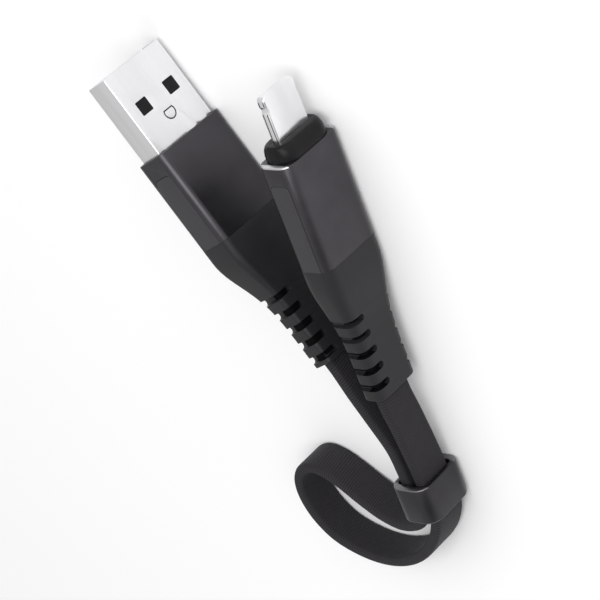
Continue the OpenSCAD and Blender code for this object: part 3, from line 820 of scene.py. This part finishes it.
class CABLE_OT_sleeves(bpy.types.Operator):
    """Mill the two anodised sleeves, with the recesses of their side pads"""

    bl_idname = "cable.sleeves"
    bl_label = "Aluminium sleeves"

    def execute(self, context):
        cable = context.scene.cable
        usb, tab, pad = cable.usb, cable.tab, cable.pad
        anodised, rim = make_anodised(cable.colour), make_rim("cut_rim", cable.colour.rim)
        self.sleeve(
            cable, "usb_grip_sleeve", usb, usb.sleeve_round, 8,
            (usb.sleeve_thickness - 2 * usb.sleeve_wall,
             usb.sleeve_width - 2 * usb.sleeve_wall, 0.4 * MM),
            pad.usb_width, place_of_usb(cable), "usb_plug", "usb_sleeve", [anodised],
        )
        bore = (tab.collar_thickness + 0.04 * MM, tab.collar_width + 0.04 * MM, 1.82 * MM)
        self.sleeve(
            cable, "tab_grip_sleeve", tab, tab.sleeve_round, 8, bore, pad.tab_width,
            place_of_tab(cable), "tab_plug", "tab_sleeve", [anodised, rim],
        )
        return {"FINISHED"}

    def sleeve(self, cable, name, plug, corner, steps, bore, pad_width, place, body, cad_node,
               paints):
        """One sleeve, from the end of its boot to its front edge, bare there if it has a rim."""
        rear, front = plug.boot_length, front_of(plug)
        bright = len(paints) > 1
        made = bar(name, rear, front, plug.sleeve_thickness, plug.sleeve_width, corner, steps)
        if bright:
            round_edges(made, edge_at(front), 0.22 * MM, 2)
        cut(made, bar("bore", rear - MM, front + MM, *bore, 6))
        for side in (-1, 1):
            cut(made, pad_block(cable, plug, pad_width, side, 0.03 * MM))
        soften(made, 0.07 * MM, 3, 28)
        coat(made, paints)
        if bright:
            end = plug.sleeve_width / 2 - 0.8 * MM
            split(made, end)
            paint_faces(made, 1, lambda face: face.normal.x > 0.3
                        and face.calc_center_median().x > front - 0.3 * MM
                        and abs(face.calc_center_median().z) > end)
        settle(made, place, body, cad_node)


def pad_block(cable, plug, width, side, grow):
    """A side pad with its front corners rounded; grown, it cuts the pad's recess."""
    pad = cable.pad
    rear = plug.boot_length - (MM if grow else 0)
    front = front_of(plug) - pad.front + grow
    top = plug.sleeve_width / 2 + (MM if grow else pad.proud)
    floor = plug.sleeve_width / 2 - pad.thickness - grow
    low, high = sorted((side * floor, side * top))
    half = width / 2 + grow
    made = block("pad", (rear, -half, low), (front, half, high))
    runs = edge_runs(UPRIGHT)
    round_edges(made, lambda edge: runs(edge)
                and min(vert.co.x for vert in edge.verts) > front - SAME, pad.corner + grow, 8)
    return made


class CABLE_OT_side_pads(bpy.types.Operator):
    """Set the matt pads into the narrow sides of the sleeves"""

    bl_idname = "cable.side_pads"
    bl_label = "Side pads"

    def execute(self, context):
        cable = context.scene.cable
        pad = cable.pad
        paint = make_pad(cable.colour)
        for name, plug, width, place, body in (
            ("usb_side_pads", cable.usb, pad.usb_width, place_of_usb(cable), "usb_plug"),
            ("tab_side_pads", cable.tab, pad.tab_width, place_of_tab(cable), "tab_plug"),
        ):
            pair = [pad_block(cable, plug, width, side, 0) for side in (-1, 1)]
            pick_up(*pair)
            bpy.ops.object.join()
            made = pair[0]
            made.name = made.data.name = name + "_soft"
            coat(made, [paint])
            soften(made, 0.12 * MM, 3)
            settle(made, place, body, name)
        return {"FINISHED"}


class CABLE_OT_boots(bpy.types.Operator):
    """Mould the two strain relief boots, with their slots and flared mouths"""

    bl_idname = "cable.boots"
    bl_label = "Strain relief boots"

    def execute(self, context):
        cable = context.scene.cable
        paints = [make_rubber(cable.colour), make_slot_painted_shade(cable.colour)]
        for name, plug, corner, place, body in (
            ("usb_boot", cable.usb, cable.usb.sleeve_round, place_of_usb(cable), "usb_plug"),
            ("tab_boot", cable.tab, cable.tab.sleeve_round, place_of_tab(cable), "tab_plug"),
        ):
            made = self.skin(cable, name + "_skin", plug, corner)
            self.slots(cable, made, plug)
            self.hollow(cable, made, plug)
            coat(made, paints)
            thick = cable.ribbon.thickness / 2 + cable.boot.slot_floor + 0.1 * MM
            wide = cable.ribbon.width / 2 + cable.boot.slot_floor + 0.1 * MM
            # Faces down in the slots get the darker, duller rubber: painted shade.
            paint_faces(made, 1, lambda face: (
                0.4 * MM < face.calc_center_median().x < CHANNEL_END - 0.5 * MM
                and abs(face.calc_center_median().y) < thick
                and abs(face.calc_center_median().z) < wide
            ))
            soften(made, 0.1 * MM, 2, 40)
            settle(made, place, body, name, 38)
        return {"FINISHED"}

    def swell(self, cable, plug, x):
        """Share of the way from the mouth's section to the sleeve's, at x."""
        end = plug.boot_length - cable.boot.straight
        t = min(1.0, max(0.0, (x - MM) / (end - MM)))
        return (3 * t * t - 2 * t ** 3) ** 3

    def skin(self, cable, name, plug, corner):
        """The boot's outside: a rounded bar whose rings shrink towards the mouth."""
        boot, length = cable.boot, plug.boot_length
        thick, wide = plug.sleeve_thickness, plug.sleeve_width
        mouth_wide = cable.ribbon.width + 2 * plug.mouth_side
        mouth_thick = cable.ribbon.thickness + 2 * boot.face
        made = bar(name, 0, length, thick, wide, corner, 6)
        open_piece(made)
        stations = {0.25 * MM, *(MM + (length - MM) * k / 24 for k in range(24))}
        for x in sorted(stations):
            divide((x, 0, 0), FORWARD)
        for x in sorted(stations | {0.0, length}):
            share = self.swell(cable, plug, x)
            choose("VERT", lambda vert: abs(vert.co.x - x) < 1e-6)
            bpy.ops.transform.resize(
                value=(
                    1,
                    (mouth_thick + (thick - mouth_thick) * share) / thick,
                    (mouth_wide + (wide - mouth_wide) * share) / wide,
                ),
                center_override=(x, 0, 0),
            )
        put_down()
        round_edges(made, edge_at(0.0), 0.2 * MM, 3)
        return made

    def slots(self, cable, made, plug):
        """Cut the slots, round-ended and down to just over the ribbon."""
        boot, ribbon = cable.boot, cable.ribbon
        mouth_wide = ribbon.width + 2 * plug.mouth_side
        beyond = plug.sleeve_width
        for k in range(boot.slots):
            x = plug.first_slot + plug.slot_pitch * k
            wide = mouth_wide + (plug.sleeve_width - mouth_wide) * self.swell(cable, plug, x)
            for side in (-1, 1):
                for face in (-1, 1):
                    reach = boot.slot_wrap if side * face < 0 else boot.slot_nick
                    stop = side * (wide / 2 - reach)
                    low, high = sorted((stop, side * beyond))
                    front, back = sorted((-face * 0.01 * MM, face * beyond))
                    tool = block("slot", (x - boot.slot / 2, front, low),
                                 (x + boot.slot / 2, back, high))
                    runs = edge_runs(LEVEL)
                    round_edges(tool, lambda edge: runs(edge)
                                and abs(edge.verts[0].co.z - stop) < SAME, 0.45 * boot.slot, 6)
                    cut(made, tool)
        cut(made, bar(
            "core", 0.1 * MM, CHANNEL_END, ribbon.thickness + 2 * boot.slot_floor,
            ribbon.width + 2 * boot.slot_floor, 0.6 * MM, 4,
        ), operation="UNION")

    def hollow(self, cable, made, plug):
        """Cut the channel, the round seat on the swing axis and the flared mouth."""
        boot, ribbon = cable.boot, cable.ribbon
        half_wide = ribbon.width / 2 + boot.gap
        half_thick = ribbon.thickness / 2 + boot.gap
        wedge = block(
            "flare", (-MM, -half_thick, -half_wide), (boot.swing, half_thick, half_wide),
        )
        open_piece(wedge)
        choose("VERT", lambda vert: vert.co.x < 0)
        widened = half_thick / math.cos(boot.flare) + (boot.swing + MM) * math.tan(boot.flare)
        bpy.ops.transform.resize(value=(1, widened / half_thick, 1), center_override=(-MM, 0, 0))
        put_down()
        seat = rod("seat", (boot.swing, 0, 0), half_thick, 2 * half_wide, UPRIGHT)
        fit = 0.02 * MM
        channel = block(
            "channel", (boot.swing, -ribbon.thickness / 2 - fit, -ribbon.width / 2 - fit),
            (CHANNEL_END, ribbon.thickness / 2 + fit, ribbon.width / 2 + fit),
        )
        chamber = block(
            "chamber", (CHANNEL_END - 0.01 * MM, -1.2 * MM, -ribbon.width / 2 - 0.5 * MM),
            (plug.boot_length + MM, 1.2 * MM, ribbon.width / 2 + 0.5 * MM),
        )
        cut(made, wedge, seat, channel, chamber)


class CABLE_OT_collar(bpy.types.Operator):
    """Mould the black collar at the root of the tab"""

    bl_idname = "cable.collar"
    bl_label = "Collar"

    def execute(self, context):
        cable = context.scene.cable
        tab = cable.tab
        front, end = front_of(tab), front_of(tab) + tab.collar_out
        foot_thick, foot_wide = tab.foot_thickness, tab.foot_width
        nose_thick, nose_wide = 3.4 * MM, 9 * MM
        collar = bar("tab_collar_moulding", front + 0.02 * MM, end, foot_thick, foot_wide,
                     foot_thick / 2 - 0.5 * MM, 10)
        open_piece(collar)
        start, steps = front + 0.4 * MM, 10
        stations = [start + (end - start) * math.sin(math.pi / 2 * k / steps)
                    for k in range(1, steps)]
        for x in (start, *stations):
            divide((x, 0, 0), FORWARD)
        for x in (*stations, end):
            rise = math.sqrt(max(0.0, 1 - ((x - start) / (end - start)) ** 2))
            choose("VERT", lambda vert: abs(vert.co.x - x) < SAME)
            bpy.ops.transform.resize(
                value=(1, (nose_thick + (foot_thick - nose_thick) * rise) / foot_thick,
                       (nose_wide + (foot_wide - nose_wide) * rise) / foot_wide),
                center_override=(x, 0, 0),
            )
        put_down()
        neck = bar("neck", front - 1.8 * MM, front + 0.5 * MM, tab.collar_thickness,
                   tab.collar_width, 1.8 * MM, 8)
        cut(collar, neck, operation="UNION")
        cut(collar, bar(
            "slot", front - 3 * MM, end + MM, tab.tab_thickness + 0.04 * MM,
            tab.tab_width + 0.04 * MM, 0.6 * MM, 6,
        ))
        coat(collar, [make_collar_and_painted_groove_shade(cable.colour)])
        soften(collar, 0.06 * MM)
        settle(collar, place_of_tab(cable), "tab_plug", "tab_collar")
        return {"FINISHED"}


class CABLE_OT_tab(bpy.types.Operator):
    """Form the thin metal tab, with its round tip, detents and contact window"""

    bl_idname = "cable.tab"
    bl_label = "Metal tab"

    def execute(self, context):
        cable = context.scene.cable
        tab = cable.tab
        front, root_length = front_of(tab), 4.7 * MM
        root, tip = front - root_length, front + tab.collar_out + tab.tab_out
        thick, wide = tab.tab_thickness, tab.tab_width
        made = block("metal_tab", (root, -thick / 2, -wide / 2), (tip, thick / 2, wide / 2))
        open_piece(made)
        runs = edge_runs(LEVEL)
        choose("EDGE", lambda edge: runs(edge) and edge.verts[0].co.x > tip - SAME)
        bpy.ops.mesh.bevel(offset=0.7 * MM, segments=8, affect="EDGES")
        # Round the two outlines of the tab, all but at its root
        choose("EDGE", lambda edge: abs(edge.verts[0].co.y - edge.verts[1].co.y) < SAME
               and max(vert.co.x for vert in edge.verts) > root + SAME)
        bpy.ops.mesh.bevel(offset=0.3 * MM, segments=4, affect="EDGES")
        put_down()
        for side in (-1, 1):
            middle = (tip - 2.1 * MM, 0, side * (wide / 2 + 0.35 * MM))
            cut(made, rod("detent", middle, 0.7 * MM, 4 * MM, LEVEL))
            for face in (-1, 1):
                middle = Vector(((front + tip) / 2, face * 0.4 * MM, side * wide / 2))
                reach = Vector(((tip - front) / 2 - 0.75 * MM, 0.08 * MM, 0.1 * MM))
                cut(made, block("groove", middle - reach, middle + reach))
        window = block(
            "window", (tip - 4.6 * MM, thick / 2 - 0.5 * MM, -wide / 2 + 0.9 * MM),
            (tip - 1.2 * MM, thick / 2 + MM, wide / 2 - 0.9 * MM),
        )
        cut(made, window)
        coat(made, [make_steel(cable.colour, "plated_tab", -TAB_TURN), make_collar_and_painted_groove_shade(cable.colour)])
        # The grooves beside the tab's narrow sides get the black plastic: painted shade in the
        # grooves.
        paint_faces(made, 1, lambda face: front < face.calc_center_median().x < tip - 0.7 * MM
                    and abs(abs(face.calc_center_median().y) - 0.4 * MM) < 0.085 * MM
                    and 0.01 * MM < wide / 2 - abs(face.calc_center_median().z) < 0.11 * MM)
        soften(made, 0.02 * MM)
        settle(made, place_of_tab(cable), "tab_plug", "tab_frame")
        return {"FINISHED"}


class CABLE_OT_keeper_ring(bpy.types.Operator):
    """Mill the flat keeper ring round the two strands"""

    bl_idname = "cable.keeper_ring"
    bl_label = "Keeper ring"

    def execute(self, context):
        cable = context.scene.cable
        ribbon, ring = cable.ribbon, cable.ring
        points = route_points(cable)
        near, far = points[USB_STRAND], points[TAB_STRAND]
        thick = (near - far).length + ribbon.thickness + 2 * ring.face_gap
        wide = ribbon.width + 2 * ring.edge_gap
        half = ring.length / 2
        tall = wide + 2 * ring.end_wall
        made = bar("keeper_ring_milled", -half, half, thick + 2 * ring.wall, tall, ring.corner, 8)
        for end in (-half, half):
            round_edges(made, edge_at(end), 0.15 * MM, 2)
        cut(made, bar("inside", -half - MM, half + MM, thick, wide, 0.8 * MM, 8))
        soften(made, 0.06 * MM)
        coat(made, [make_anodised(cable.colour, "anodised_ring", 0.75),
                    make_rim("ring_rim", cable.colour.ring_rim)])
        pale = wide / 2 - 0.3 * MM
        split(made, pale)
        paint_faces(made, 1, lambda face: abs(face.normal.x) > 0.3
                    and abs(face.calc_center_median().z) > pale)
        middle = (near + far) / 2
        place = Matrix.Translation(middle) @ Matrix.Rotation(TAB_TURN, 4, "Z")
        settle(made, place, "ring", "keeper_ring")
        return {"FINISHED"}


class CABLE_OT_inner_pieces(bpy.types.Operator):
    """Give the pieces inside the plugs and the ribbon their finishes"""

    bl_idname = "cable.inner_pieces"
    bl_label = "Inner pieces"

    def execute(self, context):
        colours = context.scene.cable.colour
        black = make_collar_and_painted_groove_shade(colours)
        mould = drifting("grey_mould", (0.035, 0.035, 0.037), 0.5, 0, 3 * MM, 0.2 * MM,
                         0.004 * MM)
        gold = drifting("gold_plate", colours.gold, 0.28, 1.0, 1 * MM, 0.08 * MM, 0.0008 * MM,
                        stretch=(0.15, 1, 1))
        board = drifting("board_lacquer", (0.01, 0.09, 0.035), 0.35, 0, 2 * MM, 0.3 * MM,
                         0.004 * MM)
        jacket = drifting("ribbon_core", (0.03, 0.03, 0.032), 0.6, 0, 3 * MM, 0.2 * MM,
                          0.004 * MM)
        finishes = {
            "usb_tongue": black, "tab_insulator": black, "tab_chip": black,
            "usb_inner_mould": mould, "tab_inner_mould": mould,
            "usb_power_contacts": gold, "usb_data_contacts": gold, "tab_contacts": gold,
            "tab_board": board, "ribbon_jacket": jacket,
            "usb_cord_anchor": jacket, "tab_cord_anchor": jacket,
        }
        red = (0.42, 0.012, 0.01)
        for name, colour in (
            ("core_supply", red), ("core_ground", (0.03, 0.03, 0.03)),
            ("core_data_plus", (0.01, 0.2, 0.04)), ("core_data_minus", (0.7, 0.7, 0.67)),
            ("usb_wire_tails", red), ("tab_wire_tails", red),
        ):
            finishes[name] = drifting("insulation_" + name, colour, 0.4, 0, 4 * MM, 0.2 * MM,
                                      0.003 * MM)
        for name, paint in finishes.items():
            data = frame["nodes"][name].data
            data.materials.clear()
            data.materials.append(paint)
        return {"FINISHED"}


class CABLE_PT_panel(bpy.types.Panel):
    """Lists the cable's pieces, each with its button"""

    bl_idname = "CABLE_PT_panel"
    bl_label = "Charging cable"
    bl_space_type = "VIEW_3D"
    bl_region_type = "UI"
    bl_category = "Cable"

    def draw(self, context):
        for step in STEPS:
            self.layout.operator(step.bl_idname)
        settings = context.scene.cable
        for part in ("ribbon", "usb", "tab", "boot", "pad", "ring", "colour", "stage"):
            box = self.layout.box()
            owner = getattr(settings, part)
            for name in owner.__annotations__:
                box.prop(owner, name)


GROUPS = (
    RibbonSizes, UsbPlugSizes, TabPlugSizes, BootSizes, PadSizes, RingSizes, FinishColours,
    StageSettings, CableSettings,
)
STEPS = (
    CABLE_OT_stage, CABLE_OT_ribbon, CABLE_OT_usb_shell, CABLE_OT_sleeves, CABLE_OT_side_pads,
    CABLE_OT_boots, CABLE_OT_collar, CABLE_OT_tab, CABLE_OT_keeper_ring, CABLE_OT_inner_pieces,
)


def register():
    """Register the property groups, the operators and the panel."""
    for thing in (*GROUPS, *STEPS, CABLE_PT_panel):
        bpy.utils.register_class(thing)
    bpy.types.Scene.cable = bpy.props.PointerProperty(type=CableSettings)


def unregister():
    """Take them away again."""
    del bpy.types.Scene.cable
    for thing in reversed((*GROUPS, *STEPS, CABLE_PT_panel)):
        bpy.utils.unregister_class(thing)


def main():
    """Build everything in order."""
    register()
    for step in STEPS:
        family, name = step.bl_idname.split(".")
        getattr(getattr(bpy.ops, family), name)()
    put_down()


if __name__ == "__main__":
    main()
